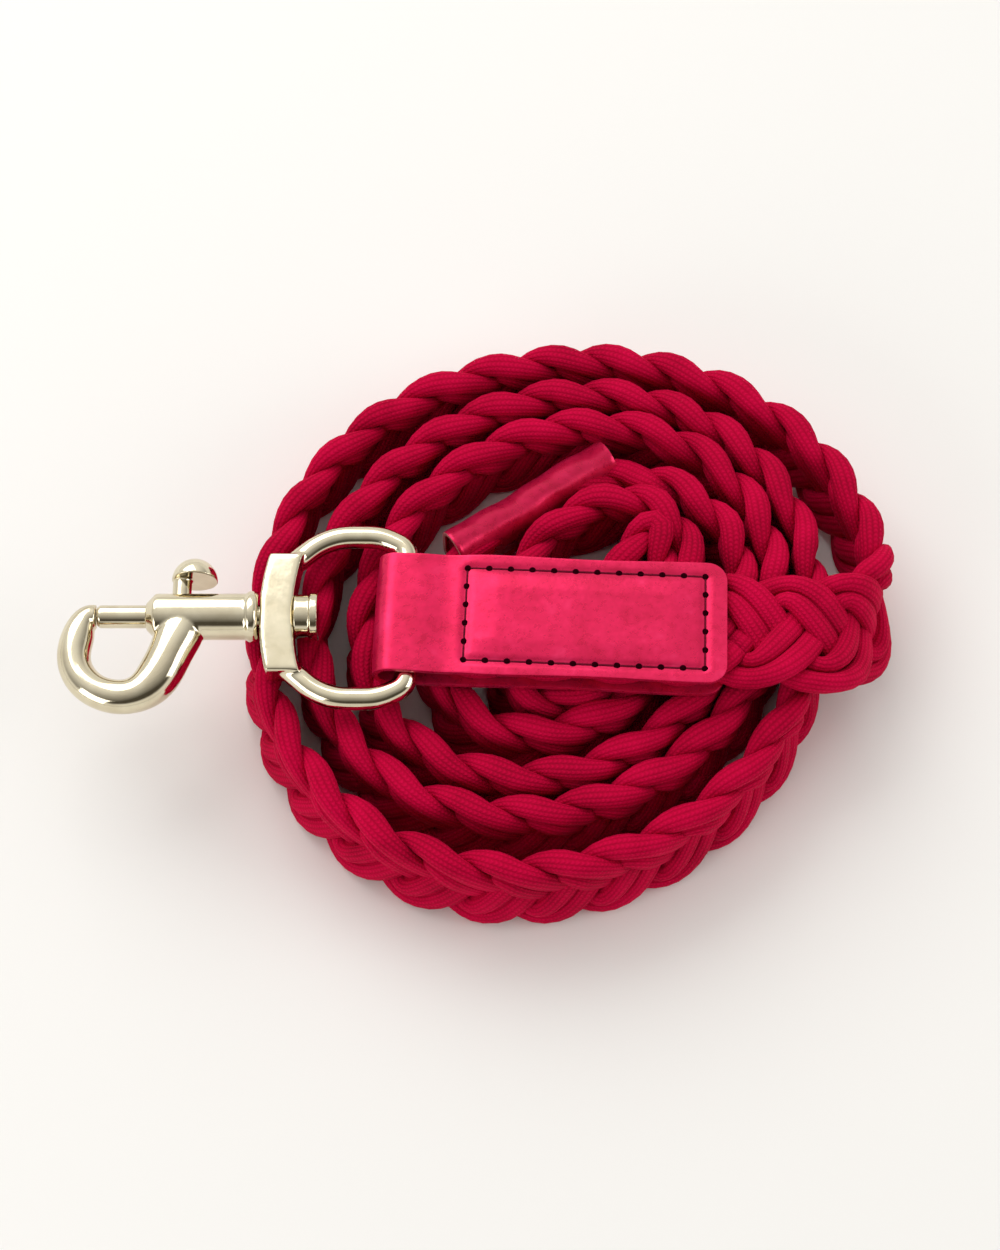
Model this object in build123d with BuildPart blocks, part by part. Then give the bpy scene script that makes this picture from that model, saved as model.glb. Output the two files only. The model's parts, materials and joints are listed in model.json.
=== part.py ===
"""Lead rope: a flat braid coiled on edge, with a stitched leather tab and a swivel bolt snap.

Millimetres, +Z up. The coil stands on the ground plane and the snap lies to its left, along -X.
"""

import math
import os

from build123d import *

os.makedirs("parts", exist_ok=True)

# ---------------------------------------------------------------- driving sizes
# Rope: a flat braid, standing on edge in the coil
rope_width = 38.0
rope_thickness = 9.0

# Coil: the centreline's distance from the coil's centre, at each pass of the turn
right_reach = (97.0, 77.0, 64.0, 53.0, 39.0, 25.0)
back_reach = (94.0, 82.0, 70.0, 58.5, 45.5, 34.0)
left_reach = (97.5, 80.0, 66.0, 47.0, 26.0, -6.0)
front_reach = (84.0, 68.0, 56.0, 44.5, 33.0)
coil_skew = 9.0
coil_skew_growth = 0.9
coil_lean = 8.0
outline_points = 40

# Leather sleeve round the rope: the rope runs straight through it
sleeve_start = (-40.0, 25.0)
sleeve_end = (10.5, 59.0)
sleeve_top = 34.0
sleeve_leather = 1.6
sleeve_core_height = 21.5
sleeve_core_width = 9.0
sleeve_flange = 5.0
sleeve_stitches = 13
sleeve_thread = 0.5

# Leather tab
tab_leather = 1.8
tab_width = 40.0
tab_length = 109.0
tab_gap = 7.9
tab_corner = 6.0
tab_turn = -2.4
tab_fold_reach = -63.5
tab_axis_offset = -6.0
stitch_rows_apart = 31.2
stitch_first = 28.0
stitch_pitch = 6.75
stitches_in_row = 11
stitch_columns = 5
thread_size = 0.7
rope_end_width = 34.0
rope_end_start = 24.0

# Swivel eye
bow_bar = 7.3
hinge_reach = -54.0
bow_half_height = 27.6
bow_corner_offset = 23.3
bow_corner_radius = 5.0
bow_shoulder_reach = -62.0
bow_rise_reach = -79.0
band_left_reach = -99.6
band_width = 10.6
band_half_height = 20.0
band_depth = 10.0
band_bulge = 2.6

# Swivel post: turns in the eye's band, pressed into the snap body
post_radius = 3.4
post_clearance = 0.08
post_press_depth = 5.5
post_head_radius = 7.6
post_neck_radius = 7.0
post_head_length = 7.2
post_lip = 2.4
post_dish_radius = 5.2
post_dish_depth = 1.2
post_hollow_clearance = 0.8

# Snap body
barrel_radius = 7.3
barrel_front_reach = -135.0
barrel_front_round = 3.0
collar_radius = 8.1
collar_length = 4.0
collar_gap = 0.3
hook_radius = 14.8
hook_centre_reach = -142.0
hook_centre_drop = 12.0
hook_tip_bar = 3.7
hook_bar = 5.2

# Bolt, thumb knob and spring
bolt_radius = 3.6
bolt_clearance = 0.08
bolt_tip_gap = 0.25
bolt_length = 30.0
bolt_travel = 11.0
bore_length = 28.5
stem_radius = 3.0
stem_reach = -124.4
stem_slot_clearance = 0.25
stem_seat_depth = 2.6
stem_root_radius = 2.0
dome_radius = 7.2
dome_reach = -120.6
dome_base = 12.2
dome_height = 7.2
spring_wire = 0.5
spring_radius = 2.7
spring_turns = 5
end_gap = 0.1

# ---------------------------------------------------------------- derived places
coil_top = rope_width
axis_z = coil_top + tab_leather + tab_gap / 2
hook_left = hook_centre_reach - hook_radius - hook_bar


def between(passes, first, turn):
    """Reach at this turn, between the passes on either side of it."""
    place = min(max(turn - first, 0.0), len(passes) - 1.0)
    step = min(int(place), len(passes) - 2)
    return passes[step] + (passes[step + 1] - passes[step]) * (place - step)


def coil_point(turn):
    """Centreline of the coiled rope, about the coil's centre; one turn is one lap anticlockwise."""
    angle = 2 * math.pi * turn
    right = between(right_reach, 0.0, turn)
    back = between(back_reach, 0.25, turn)
    left = between(left_reach, 0.5, turn)
    front = between(front_reach, 0.75, turn)
    skew = coil_skew + coil_skew_growth * turn
    x = (right - left) / 2 + (right + left) / 2 * math.cos(angle) + skew * math.sin(angle)
    y = (back - front) / 2 + (back + front) / 2 * math.sin(angle)
    return x, y


def outline(sideways):
    """Outside of the outermost turn, moved out by a distance."""
    points = []
    for step in range(outline_points + 1):
        turn = 0.03 + 0.95 * step / outline_points
        x, y = coil_point(turn)
        ahead_x, ahead_y = coil_point(turn + 0.01)
        run = math.hypot(ahead_x - x, ahead_y - y)
        points.append((x + (ahead_y - y) / run * sideways, y - (ahead_x - x) / run * sideways))
    return points


lean_shift = rope_width / 2 * math.tan(math.radians(coil_lean))
bottom_outline = outline(rope_thickness / 2 + lean_shift)
top_outline = outline(rope_thickness / 2 - lean_shift)
bottom_inside = outline(-rope_thickness / 2 + lean_shift)[0]
top_inside = outline(-rope_thickness / 2 - lean_shift)[0]
lowest_x = hook_left
highest_x = max(x for x, y in bottom_outline)
lowest_y = min(y for x, y in bottom_outline)
highest_y = max(y for x, y in bottom_outline)
centre_x = -(lowest_x + highest_x) / 2
centre_y = -(lowest_y + highest_y) / 2
axis_y = centre_y + tab_axis_offset


def reach(x):
    """Row X of a place given from the coil's centre."""
    return centre_x + x


def axis_plane(x):
    """Plane across the snap's axis."""
    return Plane(origin=(reach(x), axis_y, axis_z), x_dir=(0, 1, 0), z_dir=(1, 0, 0))


snap_axis = Axis((0, axis_y, axis_z), (1, 0, 0))
# Lies in the plane through the snap's axis: local x along +X, local y along -Y, seen from below
profile_plane = Plane(origin=(centre_x, axis_y, axis_z), x_dir=(1, 0, 0), z_dir=(0, 0, -1))

tab_plane = Plane(
    origin=(reach(tab_fold_reach), axis_y, coil_top), x_dir=(1, 0, 0), z_dir=(0, 0, 1)
).rotated((0, 0, tab_turn))


def tab_place(along, across, up):
    """Row point of a place on the tab: along from its fold, across from its middle, up from the coil."""
    return tab_plane.from_local_coords(Vector(along, across, up))


# ---------------------------------------------------------------- sleeve's frame
sleeve_run_x = sleeve_end[0] - sleeve_start[0]
sleeve_run_y = sleeve_end[1] - sleeve_start[1]
sleeve_length = math.hypot(sleeve_run_x, sleeve_run_y)
sleeve_plane = Plane(
    origin=(centre_x + sleeve_start[0], centre_y + sleeve_start[1], sleeve_top),
    x_dir=(-sleeve_run_y, sleeve_run_x, 0),
    z_dir=(sleeve_run_x, sleeve_run_y, 0),
)
sleeve_outer_width = sleeve_core_width + 2 * sleeve_leather
sleeve_core_top = -sleeve_leather
sleeve_core_bottom = sleeve_core_top - sleeve_core_height
sleeve_height = sleeve_leather * 2 + sleeve_core_height + sleeve_flange


# ---------------------------------------------------------------- rope
with BuildPart() as rope_coil:
    for height, points, inside in ((0.0, bottom_outline, bottom_inside), (rope_width, top_outline, top_inside)):
        with BuildSketch(Plane.XY.offset(height)):
            with BuildLine():
                rim = Spline(*[(centre_x + x, centre_y + y) for x, y in points])
                Polyline(rim @ 1, (centre_x + inside[0], centre_y + inside[1]), rim @ 0)
            make_face()
    loft(ruled=True)
    # Slot in which the sleeve stands between two turns
    with BuildSketch(sleeve_plane):
        with Locations((0, -sleeve_height / 2 + 5)):
            Rectangle(sleeve_outer_width, sleeve_height + 10)
    extrude(amount=sleeve_length, mode=Mode.SUBTRACT)
    # Hollow between the two outer turns, in which the swivel post's head turns
    with BuildSketch(axis_plane(band_left_reach + band_width - 2)):
        Circle(post_head_radius + post_hollow_clearance)
    extrude(amount=post_head_length + 4, mode=Mode.SUBTRACT)
rope_coil.part.label = "rope_coil"
export_step(rope_coil.part, "parts/rope_coil.step")

# The flat run leaves the tab, then banks over on to its edge where the coil's first turn starts.
# Each place, from the coil's centre: the braid's back edge, its front edge and its width.
half_width = rope_width / 2
tab_end_back = tab_place(tab_length, half_width, tab_leather + tab_gap / 2)
tab_end_front = tab_place(tab_length, -half_width, tab_leather + tab_gap / 2)
start_x, start_y = coil_point(0.03)
start_rise = rope_width / 2 - 0.6
lead_edges = (
    (
        (tab_end_back.X - centre_x, tab_end_back.Y - centre_y, tab_end_back.Z),
        (tab_end_front.X - centre_x, tab_end_front.Y - centre_y, tab_end_front.Z),
    ),
    ((60.0, 8.0, 43.3), (60.0, -30.0, 43.2)),
    ((71.0, 7.6, 43.2), (73.0, -30.2, 41.5)),
    ((80.0, 7.3, 43.0), (84.0, -27.0, 33.5)),
    ((86.5, 8.0, 42.5), (93.0, -18.0, 21.0)),
    ((91.0, 10.5, 41.5), (99.5, -4.0, 10.0)),
    ((93.2, 15.0, 40.0), (100.5, 10.0, 4.0)),
    (
        (start_x - lean_shift, start_y, half_width + start_rise),
        (start_x + lean_shift, start_y, half_width - start_rise),
    ),
)
lead_middles = [(Vector(*back) + Vector(*front)) / 2 for back, front in lead_edges]
lead_runs = [lead_middles[step + 1] - lead_middles[step] for step in range(len(lead_middles) - 1)]
lead_ways = [Vector(1, 0, 0)] + [lead_runs[step] + lead_runs[step + 1] for step in range(len(lead_runs) - 1)]
lead_ways.append(Vector(0, 1, 0))
print("lead rope, middle length", round(sum(run.length for run in lead_runs), 1))
with BuildPart() as rope_lead:
    for middle, way, edges in zip(lead_middles, lead_ways, lead_edges):
        across = Vector(*edges[0]) - Vector(*edges[1])
        face_way = way.cross(across)
        with BuildSketch(
            Plane(
                origin=(centre_x + middle.X, centre_y + middle.Y, middle.Z),
                x_dir=across,
                z_dir=across.cross(face_way),
            )
        ):
            Rectangle(across.length - 0.9, rope_thickness)
    loft(ruled=True)
    # Butts against the coil's first turn
    add(rope_coil.part, mode=Mode.SUBTRACT)
print("rope_lead", rope_lead.part.is_valid, round(rope_lead.part.volume))
rope_lead.part.label = "rope_lead"
export_step(rope_lead.part, "parts/rope_lead.step")

with BuildPart() as rope_end:
    with BuildSketch(tab_plane.offset(tab_leather)):
        with Locations(((rope_end_start + tab_length) / 2, 0)):
            Rectangle(tab_length - rope_end_start, rope_end_width)
    extrude(amount=tab_gap)
rope_end.part.label = "rope_end"
export_step(rope_end.part, "parts/rope_end.step")

# ---------------------------------------------------------------- sleeve
side_top = -sleeve_outer_width / 2
side_bottom = sleeve_core_bottom + sleeve_core_width / 2
flange_top = sleeve_core_bottom - sleeve_leather
flange_bottom = -sleeve_height


def half_round_line(half, crown, foot):
    """Outline with a round top of this half width, straight sides and a pointed foot."""
    ThreePointArc((-half, side_top), (0, crown), (half, side_top))
    Polyline((half, side_top), (half, side_bottom), foot, (-half, side_bottom), (-half, side_top))


with BuildPart() as rope_in_sleeve:
    with BuildSketch(sleeve_plane):
        with BuildLine():
            half_round_line(sleeve_core_width / 2, sleeve_core_top, (0, sleeve_core_bottom))
        make_face()
    extrude(amount=sleeve_length)
rope_in_sleeve.part.label = "rope_in_sleeve"
export_step(rope_in_sleeve.part, "parts/rope_in_sleeve.step")

with BuildPart() as sleeve_strip:
    with BuildSketch(sleeve_plane):
        with BuildLine():
            ThreePointArc((side_top, side_top), (0, 0), (-side_top, side_top))
            Polyline(
                (-side_top, side_top),
                (-side_top, side_bottom),
                (sleeve_leather, flange_top),
                (sleeve_leather, flange_bottom),
                (-sleeve_leather, flange_bottom),
                (-sleeve_leather, flange_top),
                (side_top, side_bottom),
                (side_top, side_top),
            )
        make_face()
        with BuildLine():
            half_round_line(sleeve_core_width / 2, sleeve_core_top, (0, sleeve_core_bottom))
        make_face(mode=Mode.SUBTRACT)
    extrude(amount=sleeve_length)
sleeve_strip.part.label = "sleeve_leather"
export_step(sleeve_strip.part, "parts/sleeve_leather.step")

with BuildPart() as sleeve_thread_line:
    sleeve_pitch = sleeve_length / sleeve_stitches
    for stitch in range(sleeve_stitches):
        with BuildSketch(sleeve_plane.offset((stitch + 0.2) * sleeve_pitch)):
            for side in (-1, 1):
                with Locations((side * (sleeve_leather + sleeve_thread / 2), flange_top - sleeve_flange / 2)):
                    Rectangle(sleeve_thread, sleeve_thread)
        extrude(amount=0.6 * sleeve_pitch)
sleeve_thread_line.part.label = "sleeve_stitching"
export_step(sleeve_thread_line.part, "parts/sleeve_stitching.step")

# ---------------------------------------------------------------- tab
fold_radius = tab_leather + tab_gap / 2
tab_thickness = 2 * fold_radius
tab_side = Plane(origin=tab_plane.origin, x_dir=tab_plane.x_dir, z_dir=-tab_plane.y_dir)
with BuildPart() as tab_strip:
    with BuildSketch(tab_side):
        with BuildLine():
            Line((tab_length, 0), (fold_radius, 0))
            ThreePointArc((fold_radius, 0), (0, fold_radius), (fold_radius, tab_thickness))
            Polyline(
                (fold_radius, tab_thickness),
                (tab_length, tab_thickness),
                (tab_length, tab_thickness - tab_leather),
                (fold_radius, tab_thickness - tab_leather),
            )
            ThreePointArc(
                (fold_radius, tab_thickness - tab_leather),
                (tab_leather, fold_radius),
                (fold_radius, tab_leather),
            )
            Polyline((fold_radius, tab_leather), (tab_length, tab_leather), (tab_length, 0))
        make_face()
    extrude(amount=tab_width / 2, both=True)
    fillet(tab_strip.edges().filter_by(Axis.Z), radius=tab_corner)
tab_strip.part.label = "tab_leather"
export_step(tab_strip.part, "parts/tab_leather.step")

stitch_last = stitch_first + stitches_in_row * stitch_pitch
column_pitch = stitch_rows_apart / stitch_columns
with BuildPart() as tab_thread_line:
    with BuildSketch(tab_plane.offset(tab_thickness)):
        for row in (-1, 1):
            for stitch in range(stitches_in_row):
                middle = stitch_first + (stitch + 0.5) * stitch_pitch
                with Locations((middle, row * stitch_rows_apart / 2)):
                    Rectangle(stitch_pitch - 2.2, thread_size)
        for column in (stitch_first, stitch_last):
            for stitch in range(stitch_columns):
                middle = (stitch + 0.5 - stitch_columns / 2) * column_pitch
                with Locations((column, middle)):
                    Rectangle(thread_size, column_pitch - 2.2)
    extrude(amount=thread_size / 2)
tab_thread_line.part.label = "tab_stitching"
export_step(tab_thread_line.part, "parts/tab_stitching.step")

# ---------------------------------------------------------------- swivel eye
eye_plane = Plane(origin=(centre_x, axis_y, axis_z), x_dir=(1, 0, 0), z_dir=(0, 0, 1))
band_end_left = band_left_reach + band_bulge
band_right = band_left_reach + band_width
band_end_right = band_right + band_bulge
band_middle = (band_end_left + band_end_right) / 2
bow_points = [
    (band_middle, band_half_height - bow_bar / 2),
    (bow_rise_reach, bow_half_height),
    (bow_shoulder_reach, bow_half_height),
    (hinge_reach, bow_corner_offset),
]
bow_points = bow_points + [(x, -y) for x, y in reversed(bow_points)]


def corner_radius(points, index):
    """Largest smooth arc for one corner: 0.45 of its shorter run."""
    before = Vector(*points[index]) - Vector(*points[index - 1])
    after = Vector(*points[index + 1]) - Vector(*points[index])
    turn = math.radians(before.get_angle(after))
    return 0.45 * min(before.length, after.length) / math.tan(turn / 2)


bow_radii = [corner_radius(bow_points, index) for index in range(1, len(bow_points) - 1)]
bow_radii[2] = bow_corner_radius
bow_radii[3] = bow_corner_radius
with BuildPart() as swivel_eye:
    with BuildLine(eye_plane) as bow_line:
        FilletPolyline(*bow_points, radius=bow_radii)
    with BuildSketch(Plane(origin=bow_line.line @ 0, z_dir=bow_line.line % 0)):
        Circle(bow_bar / 2)
    sweep()
    with BuildSketch(eye_plane.offset(-band_depth / 2)):
        with BuildLine():
            ThreePointArc(
                (band_end_left, -band_half_height), (band_left_reach, 0), (band_end_left, band_half_height)
            )
            Line((band_end_left, band_half_height), (band_end_right, band_half_height))
            ThreePointArc(
                (band_end_right, band_half_height), (band_right, 0), (band_end_right, -band_half_height)
            )
            Line((band_end_right, -band_half_height), (band_end_left, -band_half_height))
        make_face()
    extrude(amount=band_depth)
    with BuildSketch(axis_plane(band_left_reach - 1)):
        Circle(post_radius + post_clearance)
    extrude(amount=band_width + 2, mode=Mode.SUBTRACT)
swivel_eye.part.label = "swivel_eye"
export_step(swivel_eye.part, "parts/swivel_eye.step")

# ---------------------------------------------------------------- snap body
collar_end = band_left_reach - collar_gap
collar_start = collar_end - collar_length
bolt_tip_reach = hook_centre_reach - 8.3

# Hook bar: from its tip round to the barrel. Each place: reach, drop towards -Y, heading and radius.
hook_tip_reach = bolt_tip_reach - bolt_tip_gap
hook_sections = [
    (hook_tip_reach, 0.0, 180.0, hook_tip_bar),
    (hook_tip_reach - 3.1, 1.5, 217.0, 4.5),
]
for angle in (162, 190, 220, 250):
    turned = math.radians(angle)
    x = hook_centre_reach + hook_radius * math.cos(turned)
    drop = hook_centre_drop - hook_radius * math.sin(turned)
    hook_sections.append((x, drop, angle + 90.0, hook_bar))
hook_sections = hook_sections + [
    (-140.2, 26.9, 363.0, 5.4),
    (-133.8, 24.3, 398.0, 6.2),
    (-129.4, 18.4, 420.0, 6.9),
    (-126.2, 10.5, 430.0, 7.1),
    (-123.6, 2.5, 434.0, 6.6),
]

with BuildPart() as snap_body:
    for x, drop, heading, bar in hook_sections:
        turned = math.radians(heading)
        with BuildSketch(
            Plane(
                origin=(reach(x), axis_y - drop, axis_z),
                x_dir=(0, 0, 1),
                z_dir=(math.cos(turned), math.sin(turned), 0),
            )
        ):
            Circle(bar)
    loft()
    with BuildSketch(profile_plane):
        with BuildLine():
            Polyline(
                (barrel_front_reach, 0),
                (barrel_front_reach, barrel_radius - barrel_front_round),
                (barrel_front_reach + barrel_front_round, barrel_radius),
                (collar_start, barrel_radius),
                (collar_start + 1, collar_radius),
                (collar_end - 1, collar_radius),
                (collar_end, collar_radius - 1),
                (collar_end, 0),
                (barrel_front_reach, 0),
            )
        make_face()
    revolve(axis=snap_axis)
    # Bore for the bolt and its spring, open at the front
    with BuildSketch(axis_plane(barrel_front_reach - 3)):
        Circle(bolt_radius + bolt_clearance)
    extrude(amount=bore_length + 3, mode=Mode.SUBTRACT)
    # Seat for the swivel post
    with BuildSketch(axis_plane(collar_end - post_press_depth)):
        Circle(post_radius)
    extrude(amount=post_press_depth + 1, mode=Mode.SUBTRACT)
    # Slot in which the knob's stem slides
    with BuildSketch(Plane(origin=(reach(stem_reach), axis_y, axis_z), x_dir=(1, 0, 0), z_dir=(0, 1, 0))):
        with Locations((bolt_travel / 2, 0)):
            SlotCenterToCenter(bolt_travel + 2 * stem_slot_clearance, 2 * (stem_radius + stem_slot_clearance))
    extrude(amount=barrel_radius + 2, mode=Mode.SUBTRACT)
snap_body.part.label = "snap_body"
print("snap_body", snap_body.part.is_valid, round(snap_body.part.volume), len(snap_body.part.solids()))
export_step(snap_body.part, "parts/snap_body.step")

# ---------------------------------------------------------------- swivel post
post_start = collar_end - post_press_depth
head_start = band_right + collar_gap
head_end = head_start + post_head_length
with BuildPart() as swivel_post:
    with BuildSketch(profile_plane):
        with BuildLine():
            Polyline(
                (post_start, 0),
                (post_start, post_radius),
                (head_start, post_radius),
                (head_start, post_neck_radius),
                (head_end - post_lip, post_neck_radius),
                (head_end - post_lip, post_head_radius),
                (head_end, post_head_radius),
                (head_end, post_dish_radius),
                (head_end - post_dish_depth, 0),
                (post_start, 0),
            )
        make_face()
    revolve(axis=snap_axis)
swivel_post.part.label = "swivel_post"
export_step(swivel_post.part, "parts/swivel_post.step")

# ---------------------------------------------------------------- bolt, knob and spring
bolt_end = bolt_tip_reach + bolt_length
stem_plane = Plane(origin=(reach(stem_reach), axis_y, axis_z), x_dir=(1, 0, 0), z_dir=(0, 1, 0))
with BuildPart() as bolt:
    with BuildSketch(axis_plane(bolt_tip_reach)):
        Circle(bolt_radius)
    extrude(amount=bolt_length)
    fillet(bolt.edges().sort_by(Axis.X)[0], radius=1.2)
    with BuildSketch(stem_plane.offset(bolt_radius - stem_seat_depth)):
        Circle(stem_root_radius)
    extrude(amount=stem_seat_depth + 1, mode=Mode.SUBTRACT)
bolt.part.label = "bolt"
export_step(bolt.part, "parts/bolt.step")

with BuildPart() as thumb_knob:
    with BuildSketch(stem_plane.offset(bolt_radius - stem_seat_depth)):
        Circle(stem_root_radius)
    extrude(amount=stem_seat_depth + 1)
    with BuildSketch(stem_plane.offset(bolt_radius)):
        Circle(stem_radius)
    extrude(amount=dome_base - bolt_radius + 1)
    with BuildSketch(Plane(origin=(reach(dome_reach), axis_y, axis_z), x_dir=(1, 0, 0), z_dir=(0, 0, 1))):
        with BuildLine():
            ThreePointArc(
                (0, dome_base + dome_height),
                (dome_radius * math.sin(math.pi / 4), dome_base + dome_height * math.cos(math.pi / 4)),
                (dome_radius, dome_base),
            )
            Polyline((dome_radius, dome_base), (0, dome_base), (0, dome_base + dome_height))
        make_face()
    revolve(axis=Axis((reach(dome_reach), axis_y, axis_z), (0, 1, 0)))
thumb_knob.part.label = "thumb_knob"
print("thumb_knob", thumb_knob.part.is_valid, len(thumb_knob.part.solids()))
export_step(thumb_knob.part, "parts/thumb_knob.step")

bore_end = barrel_front_reach + bore_length
spring_start = bolt_end + end_gap + spring_wire / 2
spring_length = bore_end - end_gap - spring_wire / 2 - spring_start
with BuildPart() as bolt_spring:
    with BuildLine() as coil_line:
        Helix(
            pitch=spring_length / spring_turns,
            height=spring_length,
            radius=spring_radius,
            center=(reach(spring_start), axis_y, axis_z),
            direction=(1, 0, 0),
        )
    with BuildSketch(Plane(origin=coil_line.line @ 0, z_dir=coil_line.line % 0)):
        Circle(spring_wire / 2)
    sweep(is_frenet=True)
bolt_spring.part.label = "bolt_spring"
print("bolt_spring", bolt_spring.part.is_valid, round(bolt_spring.part.volume, 1))
export_step(bolt_spring.part, "parts/bolt_spring.step")

print("centre", round(centre_x, 3), round(centre_y, 3), "axis", round(axis_y, 3), round(axis_z, 3))
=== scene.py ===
# %% [markdown]
# # A coiled lead rope with a leather tab and a swivel bolt snap
# This file dresses a finished CAD model in Blender. The metal keeps its CAD shape and gets a real finish.
# The rope, the leather and the thread are built here, because their look is in their surface.

import json
import math

import bmesh
import bpy
import numpy as np
from mathutils import Matrix, Vector


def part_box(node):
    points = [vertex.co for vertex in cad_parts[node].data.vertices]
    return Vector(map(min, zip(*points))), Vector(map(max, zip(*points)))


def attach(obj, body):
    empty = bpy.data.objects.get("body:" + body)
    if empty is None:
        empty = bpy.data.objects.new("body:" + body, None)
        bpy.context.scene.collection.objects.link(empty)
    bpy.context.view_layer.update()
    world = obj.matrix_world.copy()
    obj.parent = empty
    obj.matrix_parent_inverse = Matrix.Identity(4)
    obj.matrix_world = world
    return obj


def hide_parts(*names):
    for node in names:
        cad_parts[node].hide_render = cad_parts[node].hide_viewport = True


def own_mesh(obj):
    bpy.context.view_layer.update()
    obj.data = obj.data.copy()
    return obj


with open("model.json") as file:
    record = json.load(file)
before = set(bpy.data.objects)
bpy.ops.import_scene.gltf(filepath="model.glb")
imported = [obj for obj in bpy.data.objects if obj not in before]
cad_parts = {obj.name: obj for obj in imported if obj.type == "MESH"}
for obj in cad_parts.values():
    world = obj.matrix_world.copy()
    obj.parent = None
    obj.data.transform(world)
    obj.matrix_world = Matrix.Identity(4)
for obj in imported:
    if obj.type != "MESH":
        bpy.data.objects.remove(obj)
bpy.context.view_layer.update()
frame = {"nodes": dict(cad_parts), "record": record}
record = frame["record"]
print("CAD nodes:", sorted(frame["nodes"]))

# %% [markdown]
# ## Places
# Every place is measured from the middle of the coil, which the record gives as the resting face.
# That point stays the same if the snap grows or the whole part is moved, so the rope's numbers stay readable.

# %% The coil's middle and a helper for places
rest_face = next(mount for mount in record["mounts"] if mount["name"] == "rest")
coil_middle = Vector(rest_face["pos_m"])


def place(x, y, z):
    """A point in the row frame, from a place measured about the coil's middle, in metres."""
    return Vector((coil_middle.x + x, coil_middle.y + y, z))


print("coil middle", [round(v, 4) for v in coil_middle])

# %% [markdown]
# ## Camera, floor and light
# A product picture taken from in front and well above needs a long lens, so that the coil stays nearly round.
# The floor is a plain pale sheet. Three large soft lamps and a dim room give soft shadows, and they
# leave darker parts for the polished metal to mirror: metal looks like metal only if some of its room is dark.

# %% Camera
camera_data = bpy.data.cameras.new("camera")
camera_data.lens = 66.1
camera_data.sensor_width = 36.0
camera = bpy.data.objects.new("camera", camera_data)
camera.location = place(-0.0248, -0.2995, 0.6967)
camera.rotation_euler = (math.radians(24), 0, 0)
bpy.context.scene.collection.objects.link(camera)
bpy.context.scene.camera = camera
bpy.context.scene.view_settings.view_transform = "Standard"


# %% Floor
def new_object(name, mesh, *materials):
    """Puts a mesh in the scene as an object at the origin."""
    made = bpy.data.objects.new(name, mesh)
    for material in materials:
        mesh.materials.append(material)
    bpy.context.scene.collection.objects.link(made)
    return made


def mesh_from(bm, name, smooth=True):
    """Turns a finished bmesh into a mesh, shaded smooth or flat."""
    for face in bm.faces:
        face.smooth = smooth
    mesh = bpy.data.meshes.new(name)
    bm.to_mesh(mesh)
    bm.free()
    return mesh


def new_material(name):
    """A node material with its nodes, its links and its main shader."""
    material = bpy.data.materials.new(name)
    material.use_nodes = True
    nodes = material.node_tree.nodes
    return material, nodes, material.node_tree.links, nodes["Principled BSDF"]


paper, nodes, links, shader = new_material("pale paper")
shader.inputs["Base Color"].default_value = (0.93, 0.92, 0.895, 1)
shader.inputs["Roughness"].default_value = 0.9
shader.inputs["Specular IOR Level"].default_value = 0.1

floor_reach = 25.0
bm = bmesh.new()
bmesh.ops.create_grid(bm, x_segments=1, y_segments=1, size=floor_reach)
floor = new_object("floor", mesh_from(bm, "floor"), paper)


# %% Lamps and room
def soft_lamp(name, location, target, size, power):
    """A square lamp that faces a target."""
    data = bpy.data.lights.new(name, "AREA")
    data.shape = "SQUARE"
    data.size = size
    data.energy = power
    lamp = bpy.data.objects.new(name, data)
    lamp.location = location
    lamp.rotation_euler = (target - lamp.location).to_track_quat("-Z", "Y").to_euler()
    bpy.context.scene.collection.objects.link(lamp)


rope_middle = place(0, 0, 0)
soft_lamp("lamp back left", place(-0.5, 0.75, 0.85), rope_middle, size=0.9, power=5.9)
soft_lamp("lamp right", place(1.0, -0.1, 0.55), rope_middle, size=0.6, power=3.1)
soft_lamp("lamp front left", place(-0.8, -0.7, 0.45), rope_middle, size=0.6, power=3.1)

# The room's brightness depends only on direction: brightest high up behind the rope, dark high in front.
# A pale band just above the floor's edge keeps the far distance as light as the floor.
world = bpy.data.worlds.new("room")
world.use_nodes = True
nodes = world.node_tree.nodes
links = world.node_tree.links
direction = nodes.new("ShaderNodeTexCoord").outputs["Generated"]
towards = nodes.new("ShaderNodeVectorMath")
towards.operation = "DOT_PRODUCT"
towards.inputs[1].default_value = (-0.22, 0.62, 0.75)
links.new(direction, towards.inputs[0])
room_tone = nodes.new("ShaderNodeValToRGB")
room_tone.color_ramp.elements[0].position = 0.0
room_tone.color_ramp.elements[0].color = (0.07, 0.062, 0.05, 1)
room_tone.color_ramp.elements[1].position = 0.95
room_tone.color_ramp.elements[1].color = (0.93, 0.916, 0.893, 1)
room_tone.color_ramp.elements.new(0.55).color = (0.46, 0.451, 0.437, 1)
links.new(towards.outputs["Value"], room_tone.inputs["Fac"])
height_above = nodes.new("ShaderNodeSeparateXYZ")
links.new(direction, height_above.inputs["Vector"])
band = nodes.new("ShaderNodeMapRange")
band.interpolation_type = "SMOOTHSTEP"
band.inputs["From Min"].default_value = 0.20
band.inputs["From Max"].default_value = 0.42
links.new(height_above.outputs["Z"], band.inputs["Value"])
room = nodes.new("ShaderNodeMix")
room.data_type = "RGBA"
room.inputs["A"].default_value = (0.78, 0.765, 0.74, 1)
links.new(band.outputs["Result"], room.inputs["Factor"])
links.new(room_tone.outputs["Color"], room.inputs["B"])
links.new(room.outputs["Result"], nodes["Background"].inputs["Color"])
nodes["Background"].inputs["Strength"].default_value = 1.16
bpy.context.scene.world = world

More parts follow.
